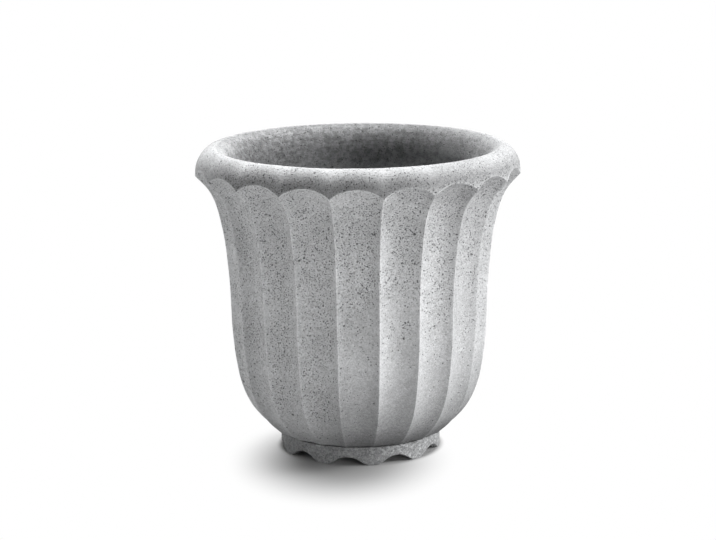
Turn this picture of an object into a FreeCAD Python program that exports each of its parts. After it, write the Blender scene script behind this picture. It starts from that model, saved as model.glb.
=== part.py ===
import FreeCAD, Part
import math
import os

# A fluted flower pot of cast cement: a bowl with a rolled rim, bedded on a scalloped foot ring,
# with a lined drain hole, a plug that pulls out below and a screen that lifts out above.
# Lengths are in millimetres. The origin is on the floor under the middle of the pot, +Z is up,
# and the middle of one flute faces -Y.

Vector = FreeCAD.Vector
centre = Vector(0, 0, 0)
up = Vector(0, 0, 1)

# All cuts run past the faces they open by this much.
overrun = 5.0

# Foot ring
seam_overhang = 5.5
foot_wall = 16.0
foot_ring_height = 17.5
notch_height = 7.5
# The round bottom of each lobe is cut flat by this much, where it stands on the floor.
lobe_flat_cut = 0.5

# Bed of mortar between the foot ring and the bowl
mortar_thickness = 1.5
mortar_setback = 1.5

# Bowl, outside
pot_height = 284.0
rim_radius = 150.0
roll_width = 19.0
roll_height = 27.0
cusp_rise = 2.5
belly_radius = 120.0
seam_radius = 80.0
flute_count = 20

# Bowl, inside
lip_width = 17.0
throat_drop = 27.0
wall_thickness = 18.0
floor_margin = 24.0
cavity_bend_height = 58.0
floor_thickness = 25.0
spigot_depth = 4.0
spigot_clearance = 1.0

# Drain hole and its sleeve
drain_radius = 14.0
sleeve_wall = 2.0
sleeve_clearance = 0.05
sleeve_lead_in = 0.8

# Drain plug
plug_clearance = 0.08
plug_tip_recess = 7.0
plug_tip_chamfer = 2.0
plug_flange_margin = 4.0
plug_flange_thickness = 3.0
plug_seat_gap = 0.3
plug_tab_width = 14.0
plug_tab_thickness = 5.0
plug_floor_clearance = 5.2

# Drain screen
screen_radius = 36.0
screen_plate = 1.8
screen_hoop_width = 3.0
screen_hoop_height = 4.0
screen_hole_radius = 2.0
screen_web = 2.4
screen_seat_gap = 0.3

# Outline of the sharp edges (arrises) between the flutes. Below the belly, heights are shares of
# the way from the seam to the belly, and radii of the way from the seam's to the belly's.
# Above it, they are shares of the way from the belly to the cusps on the rim.
belly_height_share = 0.51
lower_height_shares = (0.0, 0.09, 0.16, 0.25, 0.38, 0.54, 0.76)
lower_radius_shares = (0.0, 0.30, 0.48, 0.645, 0.795, 0.89, 0.967)
upper_height_shares = (0.0, 0.17, 0.33, 0.48, 0.61, 0.73, 0.83, 0.90, 0.955, 1.0)
upper_radius_shares = (0.0, 0.022, 0.075, 0.142, 0.230, 0.340, 0.480, 0.640, 0.828, 1.0)
# How far the curve of a roll fills its corner: the first is an ellipse, the second is flatter.
ellipse_fullness = math.sqrt(0.5)
lip_fullness = 0.5
# Depth of a flute as a share of its width, at the seam and from the top of the lower curve on
seam_depth_share = 0.07
flute_depth_share = 0.16
# Share of the way from the seam to the belly over which the flutes grow to their full depth
depth_growth_share = 0.4

seam_height = foot_ring_height + mortar_thickness
lobe_count = flute_count // 2
foot_radius = seam_radius - seam_overhang
foot_bore = foot_radius - foot_wall
crest_radius = rim_radius - roll_width
throat_radius = crest_radius - lip_width
widest_height = pot_height - roll_height
cusp_height = widest_height + cusp_rise
belly_height = seam_height + belly_height_share * (cusp_height - seam_height)
half_flute = math.pi / flute_count
spigot_radius = foot_bore - spigot_clearance
underside_height = seam_height - spigot_depth
floor_height = underside_height + floor_thickness
sleeve_bore = drain_radius - sleeve_clearance - sleeve_wall


def flute_bottom(arris_radius, depth_share):
    """The radius at the middle of a flute, at its deepest."""
    width = 2 * arris_radius * math.sin(half_flute)
    return arris_radius * math.cos(half_flute) - depth_share * width


cavity_radius = flute_bottom(belly_radius, flute_depth_share) - wall_thickness
cavity_floor_radius = seam_radius - floor_margin


def polar(radius, angle, height):
    """A point at an angle that is measured from -Y towards +X."""
    return Vector(radius * math.sin(angle), -radius * math.cos(angle), height)


def revolved(edges):
    """A solid of revolution about the Z axis from a closed outline in the XZ plane."""
    face = Part.Face(Part.Wire(edges))
    return face.revolve(centre, up, 360)


def line(start, end):
    return Part.LineSegment(start, end).toShape()


def outline(points):
    """Straight edges round a closed list of (radius, height) points."""
    corners = [Vector(radius, 0, height) for radius, height in points]
    return [line(a, b) for a, b in zip(corners, corners[1:] + corners[:1])]


def quarter_curve(start, end, middle, fullness):
    """A quarter of a rounded curve, given its two ends (radius, height) and its middle."""
    corner = (start[0] + end[0] - middle[0], start[1] + end[1] - middle[1])
    poles = [Vector(radius, 0, height) for radius, height in (start, corner, end)]
    curve = Part.BSplineCurve()
    curve.buildFromPolesMultsKnots(poles, [3, 3], [0, 1], False, 2, [1, fullness, 1])
    return curve.toShape()


def fluted_section(arris_radius, height, depth_share):
    """A closed ring of concave arcs that meet in sharp edges."""
    arcs = []
    for flute in range(flute_count):
        angle = 2 * half_flute * flute
        start = polar(arris_radius, angle - half_flute, height)
        middle = polar(flute_bottom(arris_radius, depth_share), angle, height)
        end = polar(arris_radius, angle + half_flute, height)
        arcs.append(Part.Arc(start, middle, end).toShape())
    return Part.Wire(arcs)


def fluted_body():
    """The fluted outside of the bowl, flaring on past the rim."""
    stations = []
    for height_share, radius_share in zip(lower_height_shares, lower_radius_shares):
        growth = min(height_share / depth_growth_share, 1)
        stations.append((seam_radius + radius_share * (belly_radius - seam_radius),
                         seam_height + height_share * (belly_height - seam_height),
                         seam_depth_share + growth * (flute_depth_share - seam_depth_share)))
    for height_share, radius_share in zip(upper_height_shares, upper_radius_shares):
        stations.append((belly_radius + radius_share * (rim_radius - belly_radius),
                         belly_height + height_share * (cusp_height - belly_height),
                         flute_depth_share))
    # Past the cusps the flare goes on at the slope that it has there.
    (radius_before, height_before, _), (radius_last, height_last, _) = stations[-2:]
    slope = (radius_last - radius_before) / (height_last - height_before)
    for rise in (roll_height / 3, roll_height):
        stations.append((radius_last + slope * rise, height_last + rise, flute_depth_share))
    return Part.makeLoft([fluted_section(*station) for station in stations], True, False)


def rim_blank():
    """The round blank whose rolled rim ends the flutes."""
    crest = (crest_radius, pot_height)
    widest = (rim_radius, widest_height)
    roll = quarter_curve(widest, crest, (crest_radius, widest_height), ellipse_fullness)
    points = [crest, (0, pot_height), (0, seam_height), (rim_radius, seam_height), widest]
    corners = [Vector(radius, 0, height) for radius, height in points]
    return revolved([line(a, b) for a, b in zip(corners, corners[1:])] + [roll])


def cavity():
    """The planting space, open at the top."""
    crest = (crest_radius, pot_height)
    throat = (throat_radius, pot_height - throat_drop)
    bend = (cavity_radius, floor_height + cavity_bend_height)
    floor_edge = (cavity_floor_radius, floor_height)
    lip = quarter_curve(crest, throat, (crest_radius, pot_height - throat_drop), lip_fullness)
    corner = quarter_curve(bend, floor_edge, (cavity_floor_radius, floor_height + cavity_bend_height),
                           ellipse_fullness)
    floor_middle = (0, floor_height)
    top_middle = (0, pot_height + overrun)
    top_edge = (crest_radius, pot_height + overrun)
    wall = line(Vector(throat[0], 0, throat[1]), Vector(bend[0], 0, bend[1]))
    rest = [floor_edge, floor_middle, top_middle, top_edge, crest]
    corners = [Vector(radius, 0, height) for radius, height in rest]
    return revolved([lip, wall, corner] + [line(a, b) for a, b in zip(corners, corners[1:])])


def make_fluted_bowl():
    spigot = Part.makeCylinder(spigot_radius, spigot_depth, Vector(0, 0, underside_height))
    drain = Part.makeCylinder(drain_radius, floor_thickness + 2 * overrun,
                              Vector(0, 0, underside_height - overrun))
    bowl = fluted_body().common(rim_blank())
    return bowl.fuse(spigot).cut(cavity()).cut(drain).removeSplitter()


def hem_outline(radius, angle):
    """The wavy hem from the middle of one lobe to the next, closed below the floor."""
    half_pitch = radius * math.tan(math.pi / lobe_count)
    wave = notch_height + lobe_flat_cut
    lobe, crown, turn = -lobe_flat_cut, notch_height, notch_height - wave / 2
    arc_radius = (half_pitch ** 2 + wave ** 2) / (4 * wave)
    quarter = math.asin(half_pitch / 2 / arc_radius) / 2
    aside, sag = arc_radius * math.sin(quarter), arc_radius * (1 - math.cos(quarter))
    across = Vector(math.cos(angle), math.sin(angle), 0)
    base = polar(radius, angle, 0)

    def place(along, height):
        return base + across * along + up * height

    arcs = [Part.Arc(place(-half_pitch, lobe), place(aside - half_pitch, lobe + sag),
                     place(-half_pitch / 2, turn)),
            Part.Arc(place(-half_pitch / 2, turn), place(-aside, crown - sag), place(0, crown)),
            Part.Arc(place(0, crown), place(aside, crown - sag), place(half_pitch / 2, turn)),
            Part.Arc(place(half_pitch / 2, turn), place(half_pitch - aside, lobe + sag),
                     place(half_pitch, lobe))]
    below = [place(half_pitch, lobe), place(half_pitch, lobe - overrun),
             place(-half_pitch, lobe - overrun), place(-half_pitch, lobe)]
    return Part.Wire([arc.toShape() for arc in arcs] + [line(a, b) for a, b in zip(below, below[1:])])


def make_foot_ring():
    ring = revolved(outline([(foot_bore, 0), (foot_radius, 0), (foot_radius, foot_ring_height),
                             (foot_bore, foot_ring_height)]))
    # The first notch lies under the sharp edge on the left of the front flute.
    first = -half_flute
    notches = []
    for lobe in range(lobe_count):
        angle = first + 2 * math.pi * lobe / lobe_count
        ends = [hem_outline(foot_bore - overrun, angle), hem_outline(foot_radius + overrun, angle)]
        notches.append(Part.makeLoft(ends, True, True))
    return ring.cut(notches)


def make_bedding_mortar():
    return revolved(outline([(foot_bore + mortar_setback, foot_ring_height),
                             (foot_radius - mortar_setback, foot_ring_height),
                             (foot_radius - mortar_setback, seam_height),
                             (foot_bore + mortar_setback, seam_height)]))


def make_drain_sleeve():
    outer = drain_radius - sleeve_clearance
    return revolved(outline([(outer, underside_height), (outer, floor_height),
                             (sleeve_bore, floor_height), (sleeve_bore, underside_height + sleeve_lead_in),
                             (sleeve_bore + sleeve_lead_in, underside_height)]))


def make_drain_plug():
    shank_radius = sleeve_bore - plug_clearance
    flange_top = underside_height - plug_seat_gap
    flange_bottom = flange_top - plug_flange_thickness
    flange_radius = drain_radius + plug_flange_margin
    tip = floor_height - plug_tip_recess
    body = revolved(outline([(0, flange_bottom), (flange_radius, flange_bottom),
                             (flange_radius, flange_top), (shank_radius, flange_top),
                             (shank_radius, tip - plug_tip_chamfer),
                             (shank_radius - plug_tip_chamfer, tip), (0, tip)]))
    # The tab below is pinched between finger and thumb. Its lower edge is round.
    half = plug_tab_width / 2
    low = plug_floor_clearance
    shoulder = (flange_bottom + low) / 2
    corners = [Vector(half, 0, shoulder), Vector(half, 0, flange_bottom),
               Vector(-half, 0, flange_bottom), Vector(-half, 0, shoulder)]
    edges = [line(a, b) for a, b in zip(corners, corners[1:])]
    edges.append(Part.Arc(corners[-1], Vector(0, 0, low), corners[0]).toShape())
    tab = Part.Face(Part.Wire(edges)).extrude(Vector(0, plug_tab_thickness, 0))
    tab.translate(Vector(0, -plug_tab_thickness / 2, 0))
    return body.fuse(tab).removeSplitter()


def make_drain_screen():
    base = floor_height + screen_seat_gap
    hole_pitch = 2 * screen_hole_radius + screen_web
    ring_count = int((screen_radius - screen_hoop_width - 2 * screen_hole_radius) / hole_pitch)
    holes = []
    for ring in range(ring_count + 1):
        hole_count = max(6 * ring, 1)
        for place in range(hole_count):
            middle = polar(ring * hole_pitch, 2 * math.pi * place / hole_count, base)
            holes.append(Part.Wire(Part.makeCircle(screen_hole_radius, middle)))
    rim = Part.Wire(Part.makeCircle(screen_radius, Vector(0, 0, base)))
    plate = Part.makeFace([rim] + holes, "Part::FaceMakerBullseye").extrude(up * screen_plate)
    hoop = revolved(outline([(screen_radius - screen_hoop_width, base), (screen_radius, base),
                             (screen_radius, base + screen_hoop_height),
                             (screen_radius - screen_hoop_width, base + screen_hoop_height)]))
    return plate.fuse(hoop).removeSplitter()


pieces = {
    "fluted_bowl": make_fluted_bowl,
    "foot_ring": make_foot_ring,
    "bedding_mortar": make_bedding_mortar,
    "drain_sleeve": make_drain_sleeve,
    "drain_plug": make_drain_plug,
    "drain_screen": make_drain_screen,
}

os.makedirs("parts", exist_ok=True)
for name, make in pieces.items():
    shape = make()
    box = shape.BoundBox
    print(name, "solids", len(shape.Solids), "valid", shape.isValid(), "volume", round(shape.Volume),
          "box", [round(v, 2) for v in (box.XMin, box.YMin, box.ZMin, box.XMax, box.YMax, box.ZMax)])
    shape.exportStep("parts/" + name + ".step")
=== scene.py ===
import math

import bpy
from mathutils import Matrix, Vector


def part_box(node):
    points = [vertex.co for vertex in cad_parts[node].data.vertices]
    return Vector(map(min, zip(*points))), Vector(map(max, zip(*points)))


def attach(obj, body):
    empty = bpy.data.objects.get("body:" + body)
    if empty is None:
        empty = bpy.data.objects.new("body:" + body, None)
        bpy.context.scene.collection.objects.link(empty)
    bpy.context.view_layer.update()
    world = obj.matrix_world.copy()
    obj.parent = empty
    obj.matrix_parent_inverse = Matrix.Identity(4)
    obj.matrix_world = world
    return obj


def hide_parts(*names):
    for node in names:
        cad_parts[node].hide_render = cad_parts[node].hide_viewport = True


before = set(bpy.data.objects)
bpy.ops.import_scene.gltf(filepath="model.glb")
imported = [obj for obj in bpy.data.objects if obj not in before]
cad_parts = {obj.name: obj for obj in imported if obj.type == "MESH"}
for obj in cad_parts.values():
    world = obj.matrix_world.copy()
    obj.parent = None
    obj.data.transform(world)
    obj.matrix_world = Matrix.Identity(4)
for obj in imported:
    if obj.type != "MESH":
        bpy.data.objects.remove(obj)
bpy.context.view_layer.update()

# A fluted flower pot of cast cement on a scalloped foot ring, with a lined drain hole, a rubber plug
# that pulls out below and a screen that lifts out above. Lengths are in metres. The middle of one
# flute faces -Y, and turns are angles round the pot from there towards +X.

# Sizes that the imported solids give
bowl_low, bowl_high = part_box("fluted_bowl")
foot_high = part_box("foot_ring")[1]
mortar_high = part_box("bedding_mortar")[1]
plug_low, plug_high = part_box("drain_plug")
screen_low, screen_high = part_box("drain_screen")
pot_height = bowl_high.z
underside_height = bowl_low.z
foot_ring_height = foot_high.z
seam_height = mortar_high.z

# Bowl
flute_count = 20
rim_radius = 0.150
roll_width = 0.019
roll_height = 0.027
cusp_rise = 0.0025
belly_radius = 0.120
seam_radius = 0.080
lip_width = 0.017
throat_drop = 0.027
lip_fullness = 0.5
wall_thickness = 0.018
floor_margin = 0.024
cavity_bend_height = 0.058
floor_thickness = 0.025
drain_radius = 0.014
arris_rounding = 0.0006
bowl_unevenness = 0.0007
bowl_uneven_patch = 0.035
flute_columns = 20
flute_rows = 76
curve_rows = 14
wall_rows = 20
floor_rows = 6
drain_rows = 4
ledge_rows = 4
# Marks that the bowl's finish reads: how far the lighter edge, partly wear and partly painted highlight,
# reaches from an edge, its strength on the arrises, and the height of the bands above and below the arches
# that end the flutes
bowl_marks = ("edge", "hollow", "band", "eaves", "lining")
edge_reach = 0.0016
arris_wear_and_highlight = 0.6
band_height = 0.024

# Foot ring
seam_overhang = 0.0055
foot_wall = 0.016
notch_height = 0.0075
lobe_flat_cut = 0.0005
spigot_clearance = 0.001
foot_edge_rounding = 0.0009
foot_unevenness = 0.0005
foot_uneven_patch = 0.006
mortar_unevenness = 0.0007
mortar_uneven_patch = 0.004
lobe_columns = 28
foot_side_rows = 7
foot_edge_rows = 5
mortar_columns = 36
mortar_bead_rows = 6
mortar_flat_rows = 4

# Outline of the arrises, the sharp edges between the flutes, as shares of the way up and out from the
# seam to the belly, and from the belly to the cusps on the rim
belly_height_share = 0.51
lower_height_shares = (0.0, 0.09, 0.16, 0.25, 0.38, 0.54, 0.76)
lower_radius_shares = (0.0, 0.30, 0.48, 0.645, 0.795, 0.89, 0.967)
upper_height_shares = (0.0, 0.17, 0.33, 0.48, 0.61, 0.73, 0.83, 0.90, 0.955, 1.0)
upper_radius_shares = (0.0, 0.022, 0.075, 0.142, 0.230, 0.340, 0.480, 0.640, 0.828, 1.0)
# Depth of a flute as a share of its width, at the seam and where it is full
seam_depth_share = 0.07
flute_depth_share = 0.16
depth_growth_share = 0.4
arch_search_steps = 40
arch_columns = 40

crest_radius = rim_radius - roll_width
throat_radius = crest_radius - lip_width
widest_height = pot_height - roll_height
throat_height = pot_height - throat_drop
cusp_height = widest_height + cusp_rise
belly_height = seam_height + belly_height_share * (cusp_height - seam_height)
half_flute = math.pi / flute_count
floor_height = underside_height + floor_thickness
cavity_floor_radius = seam_radius - floor_margin
lobe_count = flute_count // 2
half_lobe = math.pi / lobe_count
foot_radius = seam_radius - seam_overhang
foot_bore = foot_radius - foot_wall
spigot_radius = foot_bore - spigot_clearance


def polar(radius, turn, height):
    return Vector((radius * math.sin(turn), -radius * math.cos(turn), height))


def between(start, end, share):
    return start + share * (end - start)


# Shape of the flutes

arris_stations = [(between(seam_height, belly_height, up), between(seam_radius, belly_radius, out))
                  for up, out in zip(lower_height_shares, lower_radius_shares)]
arris_stations += [(between(belly_height, cusp_height, up), between(belly_radius, rim_radius, out))
                   for up, out in zip(upper_height_shares, upper_radius_shares)]
# Past the cusps the flare goes on at the slope that it has there.
flare_slope = ((arris_stations[-1][1] - arris_stations[-2][1])
               / (arris_stations[-1][0] - arris_stations[-2][0]))
arris_stations += [(cusp_height + rise, rim_radius + flare_slope * rise)
                   for rise in (roll_height / 3, roll_height)]


def station_slope(index):
    """The slope of a smooth curve through the stations, at one of them."""
    below = arris_stations[max(index - 1, 0)]
    here = arris_stations[index]
    above = arris_stations[min(index + 1, len(arris_stations) - 1)]
    if below is here:
        return (above[1] - here[1]) / (above[0] - here[0])
    if above is here:
        return (here[1] - below[1]) / (here[0] - below[0])
    rise_below, rise_above = here[0] - below[0], above[0] - here[0]
    slope_below = (here[1] - below[1]) / rise_below
    slope_above = (above[1] - here[1]) / rise_above
    return (slope_below * rise_above + slope_above * rise_below) / (rise_below + rise_above)


def arris_radius(height):
    """The radius of the sharp edges between the flutes, on a smooth curve through the stations."""
    index = 0
    while index < len(arris_stations) - 2 and height > arris_stations[index + 1][0]:
        index += 1
    (low, low_radius), (high, high_radius) = arris_stations[index:index + 2]
    rise = high - low
    share = (height - low) / rise
    start_pull = station_slope(index) * rise
    end_pull = station_slope(index + 1) * rise
    return (low_radius * (1 + 2 * share) * (1 - share) ** 2 + start_pull * share * (1 - share) ** 2
            + high_radius * (3 - 2 * share) * share ** 2 - end_pull * (1 - share) * share ** 2)


def flute_radius(height, turn):
    """The radius of the fluted face at a turn from the middle of a flute, which is a hollow arc."""
    growth = min((height - seam_height) / (belly_height - seam_height) / depth_growth_share, 1)
    depth_share = between(seam_depth_share, flute_depth_share, growth)
    arris = arris_radius(height)
    half_width = arris * math.sin(half_flute)
    depth = depth_share * 2 * half_width
    arc_radius = (half_width ** 2 + depth ** 2) / (2 * depth)
    arc_centre = arris * math.cos(half_flute) - depth + arc_radius
    reach = arc_centre * math.cos(turn)
    return reach - math.sqrt(reach ** 2 - arc_centre ** 2 + arc_radius ** 2)


def roll_radius(height):
    """The radius of the rolled rim outside its crest."""
    rise_share = max(height - widest_height, 0) / roll_height
    return crest_radius + roll_width * math.sqrt(max(1 - rise_share ** 2, 0))


def arch_height(turn):
    """The height at which the fluted face runs out into the rolled rim."""
    low, high = widest_height, pot_height
    for _ in range(arch_search_steps):
        middle = (low + high) / 2
        if flute_radius(middle, turn) < roll_radius(middle):
            low = middle
        else:
            high = middle
    return low


# Modelling tools

def stretch(count, place):
    """Points along one stretch of an outline. Its last point is left to the next stretch."""
    return [place(step / count) for step in range(count)]


def straight(start, end):
    return lambda share: (between(start[0], end[0], share), between(start[1], end[1], share))


def ellipse(middle, wide, high, start, end):
    """A stretch of an ellipse between two angles, which are measured from its widest point upwards."""
    def place(share):
        angle = between(start, end, share)
        return middle[0] + wide * math.cos(angle), middle[1] + high * math.sin(angle)
    return place


def conic(start, corner, end, fullness):
    """A curve that leaves its start and reaches its end along the sides of a corner."""
    def place(share):
        weights = ((1 - share) ** 2, 2 * fullness * share * (1 - share), share ** 2)
        points = (start, corner, end)
        return tuple(sum(weight * point[axis] for weight, point in zip(weights, points)) / sum(weights)
                     for axis in (0, 1))
    return place


def pick(piece):
    """Selects one piece alone and makes it the active one."""
    bpy.ops.object.select_all(action="DESELECT")
    piece.select_set(True)
    bpy.context.view_layer.objects.active = piece


def edit(piece):
    pick(piece)
    bpy.ops.object.mode_set(mode="EDIT")
    bpy.ops.mesh.select_all(action="SELECT")


def close_up(piece, reach=1e-6):
    """Merges the seams of a mesh and turns its faces outwards."""
    edit(piece)
    bpy.ops.mesh.remove_doubles(threshold=reach)
    bpy.ops.mesh.normals_make_consistent(inside=False)
    bpy.ops.object.mode_set(mode="OBJECT")


def ring_piece(name, section, half_sector, columns, copies, closed=True):
    """A round piece whose outline may change with the turn: one sector is laid out as a grid and spun
    round. An outline that isn't closed starts and ends on the axis."""
    outlines = []
    for column in range(columns + 1):
        points = section(between(-half_sector, half_sector, column / columns))
        outlines.append(points + points[:1] if closed else points)
    rows = len(outlines[0]) - 1
    bpy.ops.object.select_all(action="DESELECT")
    bpy.ops.mesh.primitive_grid_add(x_subdivisions=columns, y_subdivisions=rows, size=1)
    piece = bpy.context.object
    piece.name = piece.data.name = name
    for vertex in piece.data.vertices:
        column = round((vertex.co.x + 0.5) * columns)
        row = round((vertex.co.y + 0.5) * rows)
        turn = between(-half_sector, half_sector, column / columns)
        radius, height = outlines[column][row]
        vertex.co = polar(radius, turn, height)
    edit(piece)
    bpy.ops.mesh.spin(steps=copies - 1, dupli=True, angle=2 * half_sector * (copies - 1),
                      center=(0, 0, 0), axis=(0, 0, 1))
    bpy.ops.object.mode_set(mode="OBJECT")
    close_up(piece)
    return piece


def apply_modifier(piece, kind, **settings):
    pick(piece)
    modifier = piece.modifiers.new(kind.lower(), kind)
    for name, value in settings.items():
        setattr(modifier, name, value)
    bpy.ops.object.modifier_apply(modifier=modifier.name)


def round_edges(piece, width, segments=3, sharper_than=30):
    apply_modifier(piece, "BEVEL", width=width, segments=segments, limit_method="ANGLE",
                   angle_limit=math.radians(sharper_than), use_clamp_overlap=False)


def roughen(piece, patch_size, depth, detail=2):
    """Sinks the faces unevenly by up to this depth, as on a casting."""
    texture = bpy.data.textures.new(piece.name + "_unevenness", "CLOUDS")
    texture.noise_scale = patch_size
    texture.noise_depth = detail
    apply_modifier(piece, "DISPLACE", texture=texture, texture_coords="LOCAL", strength=depth, mid_level=1.0)


def smooth_shade(piece, sharper_than=40):
    pick(piece)
    bpy.ops.object.shade_smooth_by_angle(angle=math.radians(sharper_than))


def combine(piece, other, operation, solver="EXACT"):
    apply_modifier(piece, "BOOLEAN", object=other, operation=operation, solver=solver)
    bpy.data.objects.remove(other)


# Pieces

def eased(share):
    """Spreads rows so that they lie closer at both ends."""
    return (share + (1 - math.cos(math.pi * share)) / 2) / 2


def bowl_section(turn):
    """The closed outline of the bowl, from the seam up a flute, over the rim and back inside."""
    top = arch_height(turn)
    roll_start = math.asin((top - widest_height) / roll_height)
    cavity_radius = flute_radius(belly_height, 0) - wall_thickness
    bend_height = floor_height + cavity_bend_height

    def flute(share):
        height = between(seam_height, top, eased(share))
        return flute_radius(height, turn), height

    return (stretch(flute_rows, flute)
            + stretch(curve_rows, ellipse((crest_radius, widest_height), roll_width, roll_height,
                                          roll_start, math.pi / 2))
            + stretch(curve_rows, conic((crest_radius, pot_height), (throat_radius, pot_height),
                                        (throat_radius, throat_height), lip_fullness))
            + stretch(wall_rows, straight((throat_radius, throat_height), (cavity_radius, bend_height)))
            + stretch(curve_rows, ellipse((cavity_floor_radius, bend_height),
                                          cavity_radius - cavity_floor_radius, cavity_bend_height,
                                          0, -math.pi / 2))
            + stretch(floor_rows, straight((cavity_floor_radius, floor_height), (drain_radius, floor_height)))
            + stretch(drain_rows, straight((drain_radius, floor_height), (drain_radius, underside_height)))
            + stretch(floor_rows, straight((drain_radius, underside_height),
                                           (spigot_radius, underside_height)))
            + stretch(1, straight((spigot_radius, underside_height), (spigot_radius, seam_height)))
            + stretch(ledge_rows, straight((spigot_radius, seam_height),
                                           (flute_radius(seam_height, turn), seam_height))))


def mark(piece, name, measure):
    """Writes a value for each point of a mesh, which its material reads."""
    marks = piece.data.attributes.new(name, "FLOAT", "POINT")
    for point, entry in zip(piece.data.vertices, marks.data):
        entry.value = measure(point.co)


def mark_bowl(bowl):
    """Marks the sharp edges of the bowl, the hollows of its flutes, the bands above and below their arches
    and the inner face."""
    arch_heights = [arch_height(half_flute * column / arch_columns) for column in range(arch_columns + 1)]

    def place_in_flute(point):
        """Gives the share of the way from the middle of a flute to its edge, the radius, and the height
        above the arch that ends the flute."""
        turn = math.atan2(point.x, -point.y)
        share = abs((turn + half_flute) % (2 * half_flute) - half_flute) / half_flute
        column = min(int(share * arch_columns), arch_columns - 1)
        top = between(arch_heights[column], arch_heights[column + 1], share * arch_columns - column)
        return share, math.hypot(point.x, point.y), point.z - top

    def outside(radius, height):
        return radius > flute_radius(min(max(height, seam_height), widest_height), 0) - wall_thickness / 2

    def edge(point):
        share, radius, rise = place_in_flute(point)
        if not outside(radius, point.z):
            return 0.0
        from_arris = radius * half_flute * (1 - share)
        arris = arris_wear_and_highlight - from_arris / (2 * edge_reach) if rise < edge_reach else 0.0
        arch = 1 - abs(rise) / edge_reach if radius > crest_radius else 0.0
        return max(arris, arch, 0.0)

    def hollow(point):
        share, radius, rise = place_in_flute(point)
        return max(1 - share ** 2, 0.0) if rise < 0 and outside(radius, point.z) else 0.0

    def band(point):
        _, radius, rise = place_in_flute(point)
        return max(1 - rise / band_height, 0.0) if rise > -edge_reach / 4 and radius > crest_radius else 0.0

    def eaves(point):
        _, radius, rise = place_in_flute(point)
        return max(1 + rise / band_height, 0.0) if rise < 0 and outside(radius, point.z) else 0.0

    def lining(point):
        _, radius, _ = place_in_flute(point)
        outer_face = outside(radius, point.z) and point.z < throat_height
        if outer_face or point.z < floor_height - edge_reach:
            return 0.0
        return min(max((crest_radius - radius) / lip_width, 0.0), 1.0)

    for name, measure in zip(bowl_marks, (edge, hollow, band, eaves, lining)):
        mark(bowl, name, measure)


def make_bowl():
    bowl = ring_piece("cast_bowl", bowl_section, half_flute, columns=flute_columns, copies=flute_count)
    round_edges(bowl, arris_rounding)
    mark_bowl(bowl)
    roughen(bowl, bowl_uneven_patch, bowl_unevenness)
    smooth_shade(bowl)
    return bowl


def hem_height(turn):
    """The height of the wavy hem, in two equal arcs from the crown of a notch to the foot of a lobe."""
    wave = notch_height + lobe_flat_cut
    half_pitch = foot_radius * math.tan(half_lobe)
    arc_radius = (half_pitch ** 2 + wave ** 2) / (4 * wave)
    share = abs(math.tan(turn)) / math.tan(half_lobe)
    along = min(share, 1 - share) * half_pitch
    sag = arc_radius - math.sqrt(arc_radius ** 2 - along ** 2)
    height = notch_height - sag if share < 0.5 else sag - lobe_flat_cut
    return max(height, 0)


def foot_section(turn):
    hem = hem_height(turn)
    corners = ((foot_radius, hem), (foot_radius, foot_ring_height), (foot_bore, foot_ring_height),
               (foot_bore, hem))
    return (stretch(foot_side_rows, straight(corners[0], corners[1]))
            + stretch(foot_edge_rows, straight(corners[1], corners[2]))
            + stretch(foot_side_rows, straight(corners[2], corners[3]))
            + stretch(foot_edge_rows, straight(corners[3], corners[0])))


def make_foot_ring():
    foot = ring_piece("scalloped_foot", foot_section, half_lobe, columns=lobe_columns, copies=lobe_count)
    # The middle of a notch lies under the sharp edge on the left of the front flute.
    foot.data.transform(Matrix.Rotation(-half_flute, 4, "Z"))
    round_edges(foot, foot_edge_rounding)
    roughen(foot, foot_uneven_patch, foot_unevenness)
    smooth_shade(foot)
    return foot


def mortar_section(turn):
    """A flat bed with a rounded outer edge."""
    half_bed = (seam_height - foot_ring_height) / 2
    middle = foot_ring_height + half_bed
    bead = mortar_high.x - half_bed
    inner = foot_bore + foot_radius - mortar_high.x
    return (stretch(mortar_flat_rows, straight((inner, seam_height), (bead, seam_height)))
            + stretch(mortar_bead_rows, ellipse((bead, middle), half_bed, half_bed,
                                                math.pi / 2, -math.pi / 2))
            + stretch(mortar_flat_rows, straight((bead, foot_ring_height), (inner, foot_ring_height)))
            + stretch(1, straight((inner, foot_ring_height), (inner, seam_height))))


def make_mortar():
    mortar = ring_piece("mortar_bed", mortar_section, half_lobe, columns=mortar_columns, copies=lobe_count)
    roughen(mortar, mortar_uneven_patch, mortar_unevenness)
    smooth_shade(mortar)
    return mortar


# Drain plug
plug_flange_radius = plug_high.x
plug_tip_height = plug_high.z
plug_seat_gap = 0.0003
plug_flange_top = underside_height - plug_seat_gap
plug_flange_thickness = 0.003
plug_flange_bottom = plug_flange_top - plug_flange_thickness
plug_shank_radius = 0.01187
plug_tip_rounding = 0.002
plug_groove_depth = 0.0005
plug_rib_count = 4
plug_tab_width = 0.014
plug_tab_thickness = 0.005
plug_tab_groove_depth = 0.0004
plug_tab_groove_pitch = 0.0017
# The tab's grooves reach this far to each side of its middle, as a share of its width.
plug_tab_groove_reach = 0.4
plug_tab_cuts = 19
plug_neck_fullness = 0.7
plug_edge_rounding = 0.0006
plug_sectors = 24
plug_rib_rows = 40
plug_curve_rows = 8
plug_flange_rows = 6
plug_neck_rows = 5
plug_flat_rows = 4


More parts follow.
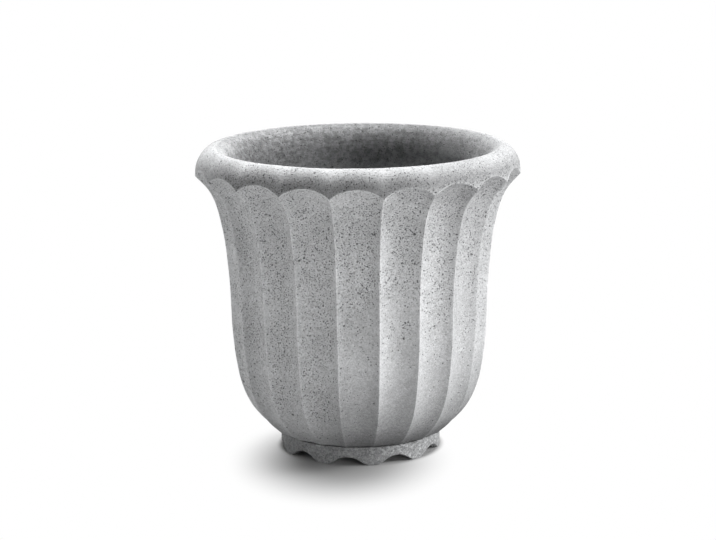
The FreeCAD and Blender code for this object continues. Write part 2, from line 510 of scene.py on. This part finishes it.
def plug_section(turn):
    """Half of the plug's outline, up from the middle of its flange to the middle of its tip."""
    flange_middle = (plug_flange_bottom + plug_flange_top) / 2
    half_flange = plug_flange_thickness / 2
    flange_flat = plug_flange_radius - half_flange
    neck_top = plug_flange_top + plug_tip_rounding / 2
    rib_start = neck_top + plug_tip_rounding / 2
    neck_radius = plug_shank_radius + plug_tip_rounding / 2
    shoulder = plug_tip_height - plug_tip_rounding
    tip_flat = plug_shank_radius - plug_tip_rounding

    def ribs(share):
        groove = (1 - math.cos(2 * math.pi * plug_rib_count * share)) / 2
        return plug_shank_radius - plug_groove_depth * groove, between(rib_start, shoulder, share)

    return (stretch(plug_flange_rows, straight((0, plug_flange_bottom), (flange_flat, plug_flange_bottom)))
            + stretch(plug_curve_rows, ellipse((flange_flat, flange_middle), half_flange, half_flange,
                                               -math.pi / 2, math.pi / 2))
            + stretch(plug_flat_rows, straight((flange_flat, plug_flange_top),
                                               (neck_radius, plug_flange_top)))
            + stretch(plug_neck_rows, conic((neck_radius, plug_flange_top),
                                            (plug_shank_radius, plug_flange_top),
                                            (plug_shank_radius, neck_top), plug_neck_fullness))
            + stretch(2, straight((plug_shank_radius, neck_top), (plug_shank_radius, rib_start)))
            + stretch(plug_rib_rows, ribs)
            + stretch(plug_curve_rows, ellipse((tip_flat, shoulder), plug_tip_rounding, plug_tip_rounding,
                                               0, math.pi / 2))
            + stretch(plug_flat_rows, straight((tip_flat, plug_tip_height), (0, plug_tip_height)))
            + [(0, plug_tip_height)])


def make_plug_tab():
    """The finger tab under the plug, with a round lower edge and grip grooves across both faces."""
    overlap = plug_flange_thickness / 3
    half_width = plug_tab_width / 2
    shoulder = (plug_flange_bottom + plug_low.z) / 2
    drop = shoulder - plug_low.z
    arc_radius = (half_width ** 2 + drop ** 2) / (2 * drop)
    bpy.ops.object.select_all(action="DESELECT")
    bpy.ops.mesh.primitive_cube_add(size=1)
    tab = bpy.context.object
    edit(tab)
    bpy.ops.mesh.subdivide(number_cuts=plug_tab_cuts)
    bpy.ops.object.mode_set(mode="OBJECT")
    for vertex in tab.data.vertices:
        across = vertex.co.x * plug_tab_width
        low = plug_low.z + arc_radius - math.sqrt(arc_radius ** 2 - across ** 2)
        height = between(low, plug_flange_bottom + overlap, vertex.co.z + 0.5)
        groove = (1 - math.cos(2 * math.pi * (height - plug_low.z) / plug_tab_groove_pitch)) / 2
        if height > shoulder or abs(vertex.co.x) > plug_tab_groove_reach:
            groove = 0
        thickness = plug_tab_thickness - 2 * plug_tab_groove_depth * groove
        vertex.co = (across, vertex.co.y * thickness, height)
    round_edges(tab, plug_edge_rounding, sharper_than=60)
    return tab


def make_plug():
    plug = ring_piece("rubber_plug", plug_section, math.pi / plug_sectors,
                      columns=2, copies=plug_sectors, closed=False)
    # The exact solver leaves this union empty, so the quick one joins the tab.
    combine(plug, make_plug_tab(), "UNION", solver="FAST")
    smooth_shade(plug)
    return plug


# Drain screen
screen_radius = screen_high.x
screen_base = screen_low.z
screen_plate = 0.0018
screen_hoop_width = 0.003
screen_hole_radius = 0.002
screen_hole_pitch = 0.0064
screen_ring_count = 4
screen_edge_rounding = 0.00025
# Each ring has this many holes more than the ring inside it.
screen_ring_step = 6
screen_hole_sides = 20
screen_plate_sides = 96
screen_sectors = 24
screen_hoop_rows = 8
screen_flat_rows = 3


def hoop_section(turn):
    """The raised hoop round the screen, with a round top."""
    half_width = screen_hoop_width / 2
    middle = screen_radius - half_width
    shoulder = screen_high.z - half_width
    inner = middle - half_width
    return (stretch(screen_flat_rows, straight((screen_radius, screen_base), (screen_radius, shoulder)))
            + stretch(screen_hoop_rows, ellipse((middle, shoulder), half_width, half_width, 0, math.pi))
            + stretch(screen_flat_rows, straight((inner, shoulder), (inner, screen_base)))
            + stretch(2, straight((inner, screen_base), (screen_radius, screen_base))))


def make_hole_cutter():
    """All the holes of the screen, in rings round the middle one."""
    bpy.ops.object.select_all(action="DESELECT")
    bpy.ops.mesh.primitive_cylinder_add(vertices=screen_hole_sides, radius=screen_hole_radius,
                                        depth=4 * screen_plate)
    first = bpy.context.object
    first.data.transform(Matrix.Translation((0, 0, screen_base)))
    for ring in range(1, screen_ring_count + 1):
        hole_count = screen_ring_step * ring
        for index in range(hole_count):
            hole = first.copy()
            hole.data = first.data.copy()
            turn = 2 * math.pi * index / hole_count
            hole.data.transform(Matrix.Translation(polar(ring * screen_hole_pitch, turn, 0)))
            bpy.context.scene.collection.objects.link(hole)
            hole.select_set(True)
    bpy.context.view_layer.objects.active = first
    bpy.ops.object.join()
    return first


def make_screen():
    screen = ring_piece("drain_grid", hoop_section, math.pi / screen_sectors,
                        columns=4, copies=screen_sectors)
    bpy.ops.object.select_all(action="DESELECT")
    bpy.ops.mesh.primitive_cylinder_add(vertices=screen_plate_sides, depth=screen_plate,
                                        radius=screen_radius - screen_hoop_width / 2)
    plate = bpy.context.object
    plate.data.transform(Matrix.Translation((0, 0, screen_base + screen_plate / 2)))
    combine(screen, plate, "UNION")
    combine(screen, make_hole_cutter(), "DIFFERENCE")
    round_edges(screen, screen_edge_rounding, segments=2, sharper_than=50)
    smooth_shade(screen)
    return screen


# Materials

node_spacing = 190


def add_node(tree, kind, **settings):
    node = tree.nodes.new(kind)
    node.location.x = node_spacing * len(tree.nodes)
    for name, value in settings.items():
        setattr(node, name, value)
    return node


def feed(tree, socket, source):
    """Links a socket to another one, or sets it to a plain value."""
    if isinstance(source, bpy.types.NodeSocket):
        tree.links.new(source, socket)
    else:
        socket.default_value = source


def placed(tree, kind, inputs, **settings):
    """A node with its inputs fed by name."""
    node = add_node(tree, kind, **settings)
    for name, source in inputs.items():
        feed(tree, node.inputs[name], source)
    return node


def calculate(tree, operation, *sources):
    node = add_node(tree, "ShaderNodeMath", operation=operation)
    for socket, source in zip(node.inputs, sources):
        feed(tree, socket, source)
    return node.outputs["Value"]


def rescale(tree, value, low, high, new_low, new_high, interpolation="SMOOTHSTEP"):
    node = placed(tree, "ShaderNodeMapRange", {"Value": value, "From Min": low, "From Max": high,
                                               "To Min": new_low, "To Max": new_high},
                  interpolation_type=interpolation)
    return node.outputs["Result"]


def chain(tree, operation, sources):
    """Takes all the sources together with one operation."""
    result = sources[0]
    for source in sources[1:]:
        result = calculate(tree, operation, result, source)
    return result


def product(tree, *sources):
    return chain(tree, "MULTIPLY", sources)


def total(tree, *sources):
    return chain(tree, "ADD", sources)


def largest(tree, *sources):
    return chain(tree, "MAXIMUM", sources)


def grow(tree, value, span):
    """A mask that grows softly from 0 at the start of a span to 1 at its end."""
    return rescale(tree, value, *span, 0.0, 1.0)


def fade(tree, value, span):
    """A mask that fades softly from 1 at the start of a span to 0 at its end."""
    return rescale(tree, value, *span, 1.0, 0.0)


def shade(tree, mask, factor):
    """A tone that goes from 1 to this factor as a mask goes from 0 to 1."""
    return rescale(tree, mask, 0.0, 1.0, 1.0, factor, "LINEAR")


def new_group(name, inputs, outputs):
    """A shader node group with named sockets. Returns it with the sockets inside it."""
    group = bpy.data.node_groups.new(name, "ShaderNodeTree")
    for socket_name, kind in inputs.items():
        group.interface.new_socket(socket_name, in_out="INPUT", socket_type=kind)
    for socket_name in outputs:
        group.interface.new_socket(socket_name, in_out="OUTPUT", socket_type="NodeSocketFloat")
    entry = add_node(group, "NodeGroupInput")
    leave = add_node(group, "NodeGroupOutput")
    return group, entry.outputs, leave.inputs


def use_group(tree, group, **sources):
    """Places a group in a material."""
    node = add_node(tree, "ShaderNodeGroup", node_tree=group)
    for name, source in sources.items():
        feed(tree, node.inputs[name], source)
    return node.outputs


def make_sand_grain():
    """Sand in a cement face: each grain has its own tone and stands out a little."""
    group, given, put = new_group("sand_grain", {"Vector": "NodeSocketVector", "Size": "NodeSocketFloat"},
                                  ("Tone", "Height"))
    scale = calculate(group, "DIVIDE", 1.0, given["Size"])
    grains = placed(group, "ShaderNodeTexVoronoi", {"Vector": given["Vector"], "Scale": scale})
    dust = placed(group, "ShaderNodeTexNoise", {"Vector": given["Vector"], "Scale": scale, "Detail": 2.0,
                                                "Roughness": 0.6})
    tones = placed(group, "ShaderNodeSeparateColor", {"Color": grains.outputs["Color"]})
    tone = total(group, product(group, tones.outputs["Red"], 0.5), product(group, dust.outputs["Fac"], 0.5))
    dome = rescale(group, grains.outputs["Distance"], 0.0, 0.75, 1.0, 0.0)
    feed(group, put["Tone"], tone)
    feed(group, put["Height"], product(group, dome, total(group, tones.outputs["Green"], 0.3)))
    return group


def make_casting_pits():
    """Small air holes in a cement face. Share says how many of the cells have one."""
    group, given, put = new_group("casting_pits", {"Vector": "NodeSocketVector", "Cell": "NodeSocketFloat",
                                                   "Radius": "NodeSocketFloat", "Share": "NodeSocketFloat"},
                                  ("Mask",))
    scale = calculate(group, "DIVIDE", 1.0, given["Cell"])
    wander = placed(group, "ShaderNodeTexNoise", {"Vector": given["Vector"],
                                                  "Scale": product(group, scale, 2.4), "Detail": 1.0})
    centred = placed(group, "ShaderNodeVectorMath", {0: wander.outputs["Color"], 1: (0.5, 0.5, 0.5)},
                     operation="SUBTRACT")
    shift = placed(group, "ShaderNodeVectorMath", {0: centred.outputs["Vector"],
                                                   "Scale": product(group, given["Cell"], 0.55)},
                   operation="SCALE")
    moved = placed(group, "ShaderNodeVectorMath", {0: given["Vector"], 1: shift.outputs["Vector"]},
                   operation="ADD")
    cells = placed(group, "ShaderNodeTexVoronoi", {"Vector": moved.outputs["Vector"], "Scale": scale})
    chance = placed(group, "ShaderNodeSeparateColor", {"Color": cells.outputs["Color"]})
    radius = product(group, given["Radius"], rescale(group, chance.outputs["Red"], 0.0, 1.0, 0.45, 1.0))
    hole = rescale(group, cells.outputs["Distance"], product(group, radius, 0.5), radius, 1.0, 0.0)
    there = calculate(group, "LESS_THAN", chance.outputs["Green"], given["Share"])
    feed(group, put["Mask"], product(group, hole, there))
    return group


def make_mottling():
    """Soft uneven patches."""
    group, given, put = new_group("mottling", {"Vector": "NodeSocketVector", "Size": "NodeSocketFloat"},
                                  ("Tone",))
    clouds = placed(group, "ShaderNodeTexNoise", {"Vector": given["Vector"], "Detail": 4.0, "Roughness": 0.55,
                                                  "Scale": calculate(group, "DIVIDE", 1.0, given["Size"])})
    feed(group, put["Tone"], clouds.outputs["Fac"])
    return group


sand_grain = make_sand_grain()
casting_pits = make_casting_pits()
mottling = make_mottling()


def new_material(name):
    material = bpy.data.materials.new(name)
    material.use_nodes = True
    tree = material.node_tree
    place = add_node(tree, "ShaderNodeTexCoord").outputs["Object"]
    return material, tree, tree.nodes["Principled BSDF"], place


def swing(tree, tone, amount):
    """Turns a tone from 0 to 1 into a factor that swings this far about 1."""
    return rescale(tree, tone, 0.0, 1.0, 1 - amount, 1 + amount, "LINEAR")


def mottle(tree, place, size):
    return use_group(tree, mottling, Vector=place, Size=size)["Tone"]


def read_mark(tree, name):
    """The value that was written for each point of a mesh."""
    return add_node(tree, "ShaderNodeAttribute", attribute_name=name).outputs["Fac"]


def colour_and_bump(tree, shader, colour, tone, height):
    """Colours a shader by a tone about 1 and gives it a relief, whose height is in metres."""
    tinted = add_node(tree, "ShaderNodeMix", data_type="RGBA", blend_type="MULTIPLY")
    tinted.inputs["Factor"].default_value = 1.0
    feed(tree, tinted.inputs["A"], (*colour, 1.0))
    feed(tree, tinted.inputs["B"], tone)
    feed(tree, shader.inputs["Base Color"], tinted.outputs["Result"])
    relief = placed(tree, "ShaderNodeBump", {"Height": height, "Distance": 1.0})
    feed(tree, shader.inputs["Normal"], relief.outputs["Normal"])


def matt(tree, shader, cloud, roughness, gloss):
    """Makes a cement dull, with a roughness that changes from patch to patch between two values."""
    feed(tree, shader.inputs["Roughness"], rescale(tree, cloud, 0.0, 1.0, *roughness, "LINEAR"))
    shader.inputs["Specular IOR Level"].default_value = gloss


# The bowl's cement. A pit has the size of its cell, its radius as a share of that, and a share that says
# how common it is.
bowl_colour = (0.520, 0.525, 0.532)
bowl_roughness = (0.82, 0.98)
cement_gloss = 0.3
bowl_fine_sand = 0.0009
bowl_coarse_sand = 0.0022
bowl_fine_relief = 0.00008
bowl_coarse_relief = 0.00010
bowl_pit_depth = 0.0006
bowl_pits = ((0.0014, 0.42, 1.8), (0.0022, 0.39, 1.2), (0.0050, 0.25, 0.55))
small_pit_strength = 0.8
bowl_cloud_size = 0.06
bowl_patch_size = 0.035
stain_size = 0.012
blot_size = 0.005
streak_size = 0.020
# Streaks lie level, because their pattern is squeezed in height.
streak_squeeze = (1.0, 1.0, 7.0)

# Where its pits, wear and stains and its painted light and shade start and end: heights, and places from the
# left of the pot, -X, to the right
pit_heights = (0.08, 0.22)
left_pit_heights = (0.035, 0.07)
left_pit_places = (-0.03, 0.0)
sunny_places = (0.01, 0.09)
far_left_places = (-0.145, -0.095)
left_shade_places = (-0.09, -0.02)
left_shade_heights = (0.22, 0.25)
right_shade_places = (0.05, 0.10)
right_shade_heights = (0.245, 0.262)
inner_shade_fade_places = (0.05, 0.11)
crest_heights = (0.270, 0.282)
roll_heights = (0.262, 0.272)
upward_darkening_heights = (0.170, 0.245)
edge_light_heights = (0.02, 0.08)
low_shade_heights = (0.019, 0.110)
seam_shade_heights = (0.015, 0.045)
low_shade_places = (-0.07, 0.01)
back_heights = (0.238, 0.256)
# Places from front to back, turned a little to the left
back_places = (0.03, 0.11)
back_skew = 0.35


def make_bowl_pits(tree, place, zone):
    """The casting pits of the bowl. The zone says how many there are."""
    pits = [use_group(tree, casting_pits, Vector=place, Cell=cell, Radius=radius,
                      Share=product(tree, zone, share))["Mask"] for cell, radius, share in bowl_pits]
    return largest(tree, product(tree, pits[0], small_pit_strength), *pits[1:])


def make_cast_cement():
    """The bowl's cement: fine sand, soft patches and casting pits, most of them high in the flutes and
    painted dark as the shade in them, with edges lighter, partly wear and partly a painted highlight. Its
    tone changes with
    its place on the pot: a stain and painted shade above the arches but not on the right, painted shade below
    them on the right, on the sunny roll, on the left and right sides, inside and towards the bottom, a
    painted highlight on the crest, a stain and painted shade on the back of the lip, lighter low on the
    flutes and darker high up, and streaks and blots inside."""
    material, tree, shader, place = new_material("cast_cement")
    axes = placed(tree, "ShaderNodeSeparateXYZ", {"Vector": place}).outputs
    aside, depth, height = axes["X"], axes["Y"], axes["Z"]
    edge, hollow, band, eaves, lining = [read_mark(tree, name) for name in bowl_marks]
    cloud = mottle(tree, place, bowl_cloud_size)
    patches = mottle(tree, place, bowl_patch_size)
    stains = mottle(tree, place, stain_size)
    blots = mottle(tree, place, blot_size)
    squeezed = placed(tree, "ShaderNodeVectorMath", {0: place, 1: streak_squeeze}, operation="MULTIPLY")
    streaks = mottle(tree, squeezed.outputs["Vector"], streak_size)
    fine = use_group(tree, sand_grain, Vector=place, Size=bowl_fine_sand)
    coarse = use_group(tree, sand_grain, Vector=place, Size=bowl_coarse_sand)

    low_on_left = product(tree, rescale(tree, aside, *left_pit_places, 0.75, 0.0),
                          grow(tree, height, left_pit_heights))
    pit_zone = product(tree, largest(tree, rescale(tree, height, *pit_heights, 0.06, 1.0), low_on_left),
                       rescale(tree, patches, 0.30, 0.52, 0.16, 1.0),
                       largest(tree, rescale(tree, hollow, 0.05, 0.7, 0.40, 1.0), band))
    pit = make_bowl_pits(tree, place, pit_zone)

    shaded_side = fade(tree, aside, sunny_places)
    sunny_side = grow(tree, aside, sunny_places)
    off_left = rescale(tree, aside, *far_left_places, 0.25, 1.0)
    # Painted shade: the left of the bowl a little darker, below the rim.
    left_painted_shade = product(tree, fade(tree, aside, left_shade_places), fade(tree, height, left_shade_heights))
    # Painted shade: the right of the bowl darker, half as much on the rim, to hold back the light from the
    # right.
    right_painted_lighting = product(tree, grow(tree, aside, right_shade_places),
                         rescale(tree, height, *right_shade_heights, 1.0, 0.5))
    # Painted highlight: the crest of the roll lighter, where the light from above falls on it, less so at the
    # far left.
    crest = product(tree, grow(tree, height, crest_heights), off_left)
    # Painted shade: the roll darker on the sunny right, to hold back the light there.
    painted_shade_on_sunny_roll = product(tree, grow(tree, height, roll_heights), sunny_side)
    # Edges lighter: partly wear and partly a painted highlight where the light catches them, less so near the
    # bottom.
    wear_and_painted_highlight = product(tree, edge, rescale(tree, height, *edge_light_heights, 0.7, 1.0))
    # Above the arches on the shaded side: partly a mottled stain and partly painted shade under the roll,
    # less at the far left.
    stain_and_painted_shade = product(tree, grow(tree, band, (0.1, 0.9)), rescale(tree, stains, 0.3, 0.7, 0.7, 1.0),
                      shaded_side, off_left)
    # Painted shade: the tops of the flutes darker under the arches on the sunny right, where they face down
    # from the light.
    painted_shade_under_arches = product(tree, grow(tree, eaves, (0.0, 0.8)), sunny_side)
    # Painted shade: the inner face darker from just inside the crest, less further in, mottled, and less so
    # on the right.
    painted_shade_inside = product(tree, grow(tree, lining, (0.0, 0.16)), rescale(tree, lining, 0.16, 0.40, 1.0, 0.55),
                     rescale(tree, patches, 0.3, 0.6, 0.75, 1.0),
                     rescale(tree, aside, *inner_shade_fade_places, 1.0, 0.3))
    streaked = product(tree, grow(tree, lining, (0.2, 0.6)),
                       total(tree, rescale(tree, streaks, 0.35, 0.65, 0.0, 0.18),
                             rescale(tree, blots, 0.45, 0.65, 0.0, 0.17)))
    # Painted shade: the bowl darker towards the bottom and most at the seam, more on the right.
    above_low_shade = product(tree, rescale(tree, height, *low_shade_heights, 0.58, 1.0),
                     rescale(tree, height, *seam_shade_heights, 0.60, 1.0))
    painted_low_shade = product(tree, shade(tree, above_low_shade, 0.0), rescale(tree, aside, *low_shade_places, 0.15, 1.15))
    # The back of the lip, turned a little to the left, darker: partly a mottled stain with blots, partly
    # painted shade.
    back_left = calculate(tree, "SUBTRACT", depth, product(tree, aside, back_skew))
    back_lip_stain_and_shade = product(tree, grow(tree, back_left, back_places), grow(tree, height, back_heights),
                       total(tree, rescale(tree, stains, 0.3, 0.65, 0.50, 0.80),
                             rescale(tree, blots, 0.40, 0.60, 0.0, 0.50)))

    grain = product(tree, swing(tree, fine["Tone"], 0.34), swing(tree, coarse["Tone"], 0.10),
                    swing(tree, cloud, 0.20), swing(tree, stains, 0.14))
    # The pits are painted dark, as painted shade inside them.
    shades = ((crest, 1.32), (painted_shade_on_sunny_roll, 0.72), (streaked, 0.0), (painted_low_shade, 0.0), (right_painted_lighting, 0.86),
              (left_painted_shade, 0.93), (stain_and_painted_shade, 0.48), (painted_shade_under_arches, 0.70), (painted_shade_inside, 0.66), (back_lip_stain_and_shade, 0.56),
              (pit, 0.22))
    # Lighter low on the flutes and darker high up, towards the rim.
    tone = product(tree, grain, rescale(tree, height, *upward_darkening_heights, 1.12, 0.92),
                   rescale(tree, wear_and_painted_highlight, 0.0, 1.0, 1.0, 1.26),
                   *[shade(tree, mask, factor) for mask, factor in shades])
    relief = total(tree, product(tree, fine["Height"], bowl_fine_relief),
                   product(tree, coarse["Height"], bowl_coarse_relief), product(tree, pit, -bowl_pit_depth))
    colour_and_bump(tree, shader, bowl_colour, tone, relief)
    matt(tree, shader, cloud, bowl_roughness, cement_gloss)
    return material


# The foot's cement
# A darker cement than the bowl's, and darker still as painted shade under the bowl.
foot_colour_and_shade = (0.30, 0.304, 0.308)
foot_roughness = (0.85, 1.0)
foot_fine_sand = 0.0010
foot_coarse_sand = 0.0019
foot_fine_relief = 0.00015
foot_coarse_relief = 0.0003
foot_pit_cell = 0.004
foot_pit_radius = 0.22
foot_pit_depth = 0.0005
foot_patch_size = 0.03
foot_cloud_size = 0.02
foot_right_light_places = (0.0, 0.04)


def make_foot_cement():
    """The foot's cement: coarser sand with few pits, painted dark as the shade in them, and painted light on
    the
    right: lighter there, with painted glints of grain.
    """
    material, tree, shader, place = new_material("foot_cement")
    patches = mottle(tree, place, foot_patch_size)
    cloud = mottle(tree, place, foot_cloud_size)
    pit = use_group(tree, casting_pits, Vector=place, Cell=foot_pit_cell, Radius=foot_pit_radius,
                    Share=rescale(tree, patches, 0.4, 0.65, 0.02, 0.25))["Mask"]
    fine = use_group(tree, sand_grain, Vector=place, Size=foot_fine_sand)
    coarse = use_group(tree, sand_grain, Vector=place, Size=foot_coarse_sand)
    aside = placed(tree, "ShaderNodeSeparateXYZ", {"Vector": place}).outputs["X"]
    # Painted light: the foot lighter on the right, where the light from the right falls, with painted glints
    # of grain.
    right_painted_lighting = grow(tree, aside, foot_right_light_places)
    painted_glint = product(tree, right_painted_lighting, grow(tree, coarse["Tone"], (0.52, 0.70)))
    # The pits are painted dark, as painted shade inside them.
    tone = product(tree, swing(tree, fine["Tone"], 0.50), swing(tree, coarse["Tone"], 0.42),
                   swing(tree, cloud, 0.20), rescale(tree, right_painted_lighting, 0.0, 1.0, 0.93, 1.10),
                   shade(tree, painted_glint, 1.26), shade(tree, pit, 0.5))
    relief = total(tree, product(tree, fine["Height"], foot_fine_relief),
                   product(tree, coarse["Height"], foot_coarse_relief), product(tree, pit, -foot_pit_depth))
    colour_and_bump(tree, shader, foot_colour_and_shade, tone, relief)
    matt(tree, shader, cloud, foot_roughness, cement_gloss)
    return material


# The mortar
mortar_colour = (0.28, 0.28, 0.28)
mortar_roughness = (0.88, 1.0)
mortar_gloss = 0.2
mortar_sand = 0.0008
mortar_relief = 0.00025
mortar_cloud_size = 0.012


def make_mortar_finish():
    """The mortar: dark, with fine sand and soft patches."""
    material, tree, shader, place = new_material("mortar")
    grain = use_group(tree, sand_grain, Vector=place, Size=mortar_sand)
    cloud = mottle(tree, place, mortar_cloud_size)
    tone = product(tree, swing(tree, grain["Tone"], 0.25), swing(tree, cloud, 0.25))
    colour_and_bump(tree, shader, mortar_colour, tone, product(tree, grain["Height"], mortar_relief))
    matt(tree, shader, cloud, mortar_roughness, mortar_gloss)
    return material


# The moulded rubber and plastics
moulded_grain_size = 0.0004
moulded_cloud_size = 0.010
scuff_size = 0.003
scuff_smoother = 0.08
scuff_rougher = 0.1


def make_moulded_finish(name, colour, roughness, grain_depth, dusting):
    """A moulded rubber or plastic with a fine spark-eroded grain and a little cement dust."""
    material, tree, shader, place = new_material(name)
    grain = use_group(tree, sand_grain, Vector=place, Size=moulded_grain_size)
    cloud = mottle(tree, place, moulded_cloud_size)
    scuff = mottle(tree, place, scuff_size)
    dust = product(tree, rescale(tree, cloud, 0.45, 0.75, 0.0, dusting),
                   rescale(tree, scuff, 0.3, 0.7, 0.3, 1.0))
    tone = total(tree, product(tree, swing(tree, grain["Tone"], 0.08), swing(tree, cloud, 0.12)), dust)
    colour_and_bump(tree, shader, colour, tone, product(tree, grain["Height"], grain_depth))
    feed(tree, shader.inputs["Roughness"],
         rescale(tree, scuff, 0.2, 0.8, roughness - scuff_smoother, roughness + scuff_rougher))
    return material


bowl = make_bowl()
foot = make_foot_ring()
mortar = make_mortar()
plug = make_plug()
screen = make_screen()
finishes = {"cast_cement": make_cast_cement(),
            "foot_cement": make_foot_cement(),
            "mortar": make_mortar_finish(),
            "sleeve_plastic": make_moulded_finish("sleeve_plastic", colour=(0.42, 0.43, 0.44), roughness=0.50,
                                                  grain_depth=0.00002, dusting=0.25),
            "plug_rubber": make_moulded_finish("plug_rubber", colour=(0.035, 0.035, 0.037), roughness=0.62,
                                               grain_depth=0.00004, dusting=1.2),
            "screen_plastic": make_moulded_finish("screen_plastic", colour=(0.03, 0.034, 0.033),
                                                  roughness=0.45, grain_depth=0.00002, dusting=1.5)}
for piece, body, node_name, slot_name in ((bowl, "pot", "fluted_bowl", "cast_cement"),
                                          (foot, "pot", "foot_ring", "foot_cement"),
                                          (mortar, "pot", "bedding_mortar", "mortar"),
                                          (plug, "plug", "drain_plug", "plug_rubber"),
                                          (screen, "screen", "drain_screen", "screen_plastic")):
    piece.data.materials.clear()
    piece.data.materials.append(finishes[slot_name])
    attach(piece, body)
    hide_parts(node_name)
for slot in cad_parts["drain_sleeve"].material_slots:
    slot.material = finishes["sleeve_plastic"]

# Floor, light and camera

floor_radius = 14.0
floor_sides = 64
floor_colour = (0.56, 0.56, 0.56, 1.0)
floor_roughness = 0.9
floor_gloss = 0.1
camera_distance = 2.078
camera_height = 0.6174
camera_aside = -0.0008
camera_turn = math.radians(0.446)
camera_tilt = math.radians(12.25)
camera_roll = math.radians(0.575)
camera_lens = 115.5
sensor_width = 36
view_reach = 100
lamp_distance = 1.8
aim_height = 0.15
# The shadow that shows on the floor, an oval in front of the pot and a little to the left
shadow_middle = (-0.018, -0.05, 0)
shadow_reach = (0.073, 0.103, 1)
# The shadow's soft edge as shares of its reach, and the floor's start outside the foot
shadow_edge = (0.38, 1.48)
contact_span = (0.96 * foot_radius, 1.07 * foot_radius)
# Light that the floor throws back on the pot, from round about and from under the foot
bounce_span = (0.40, 0.90)
bounce_strength = 0.70
underglow_span = (0.5 * foot_bore, 0.9 * foot_bore)
underglow_strength = 0.22
world_strength = 0.02


def make_camera():
    data = bpy.data.cameras.new("camera")
    data.lens = camera_lens
    data.sensor_width = sensor_width
    data.sensor_fit = "HORIZONTAL"
    data.clip_end = view_reach
    camera = bpy.data.objects.new("camera", data)
    bpy.context.scene.collection.objects.link(camera)
    camera.matrix_world = (Matrix.Rotation(camera_turn, 4, "Z")
                           @ Matrix.Translation((camera_aside, -camera_distance, camera_height))
                           @ Matrix.Rotation(math.pi / 2 - camera_tilt, 4, "X")
                           @ Matrix.Rotation(-camera_roll, 4, "Z"))
    bpy.context.scene.camera = camera


def soft_box(name, turn, elevation, size, watts):
    """A square lamp that looks at the pot from this turn and height above the horizon, in degrees."""
    data = bpy.data.lights.new(name, "AREA")
    data.shape = "SQUARE"
    data.size = size
    data.energy = watts
    lamp = bpy.data.objects.new(name, data)
    bpy.context.scene.collection.objects.link(lamp)
    aim = Vector((0, 0, aim_height))
    reach = lamp_distance * math.cos(math.radians(elevation))
    rise = lamp_distance * math.sin(math.radians(elevation))
    lamp.location = aim + polar(reach, math.radians(turn), rise)
    lamp.rotation_euler = (aim - lamp.location).to_track_quat("-Z", "Y").to_euler()


def looking_rays(tree):
    """A mask of the rays that look at a surface: from the camera, in a reflection or through glass."""
    path = add_node(tree, "ShaderNodeLightPath").outputs
    return largest(tree, path["Is Camera Ray"], path["Is Glossy Ray"], path["Is Transmission Ray"])


def make_floor():
    """A white floor. By the pot it is lit by the lamps and takes the pot's shadow, and further out it
    fades into a plain white, which also lights the pot from below. It is clear when it is seen from
    below."""
    bpy.ops.object.select_all(action="DESELECT")
    bpy.ops.mesh.primitive_circle_add(vertices=floor_sides, radius=floor_radius, fill_type="NGON")
    floor = bpy.context.object
    floor.name = "floor"
    material, tree, shader, place = new_material("white_floor")
    shader.inputs["Base Color"].default_value = floor_colour
    shader.inputs["Roughness"].default_value = floor_roughness
    shader.inputs["Specular IOR Level"].default_value = floor_gloss
    centred = placed(tree, "ShaderNodeVectorMath", {0: place, 1: shadow_middle}, operation="SUBTRACT")
    stretched = placed(tree, "ShaderNodeVectorMath", {0: centred.outputs["Vector"], 1: shadow_reach},
                       operation="DIVIDE")
    from_shadow = placed(tree, "ShaderNodeVectorMath", {0: stretched.outputs["Vector"]}, operation="LENGTH")
    from_pot = placed(tree, "ShaderNodeVectorMath", {0: place}, operation="LENGTH").outputs["Value"]
    seen = product(tree, looking_rays(tree), grow(tree, from_shadow.outputs["Value"], shadow_edge),
                   grow(tree, from_pot, contact_span))
    around = rescale(tree, from_pot, *bounce_span, 0.0, bounce_strength)
    below = rescale(tree, from_pot, *underglow_span, underglow_strength, 0.0)
    lighting = add_node(tree, "ShaderNodeLightPath").outputs["Is Diffuse Ray"]
    glow = product(tree, lighting, largest(tree, around, below))
    white = add_node(tree, "ShaderNodeEmission")
    mixed = placed(tree, "ShaderNodeMixShader", {"Fac": largest(tree, seen, glow),
                                                 1: shader.outputs["BSDF"], 2: white.outputs["Emission"]})
    clear = add_node(tree, "ShaderNodeBsdfTransparent")
    from_below = add_node(tree, "ShaderNodeNewGeometry").outputs["Backfacing"]
    one_sided = placed(tree, "ShaderNodeMixShader", {"Fac": from_below, 1: mixed.outputs["Shader"],
                                                     2: clear.outputs["BSDF"]})
    feed(tree, tree.nodes["Material Output"].inputs["Surface"], one_sided.outputs["Shader"])
    floor.data.materials.append(material)


def make_world():
    """White where it is seen, and a faint even light elsewhere."""
    world = bpy.data.worlds.new("studio")
    bpy.context.scene.world = world
    world.use_nodes = True
    tree = world.node_tree
    background = tree.nodes["Background"]
    background.inputs["Color"].default_value = (1, 1, 1, 1)
    strength = rescale(tree, looking_rays(tree), 0.0, 1.0, world_strength, 1.0, "LINEAR")
    feed(tree, background.inputs["Strength"], strength)


make_camera()
make_floor()
make_world()
soft_box("key_behind", turn=184, elevation=70, size=0.7, watts=54)
soft_box("side_right", turn=88, elevation=21, size=0.6, watts=26)
soft_box("fill_right", turn=36, elevation=3, size=0.6, watts=11.8)
soft_box("side_left", turn=268, elevation=3, size=0.6, watts=9)

bpy.context.scene.view_settings.view_transform = "Standard"
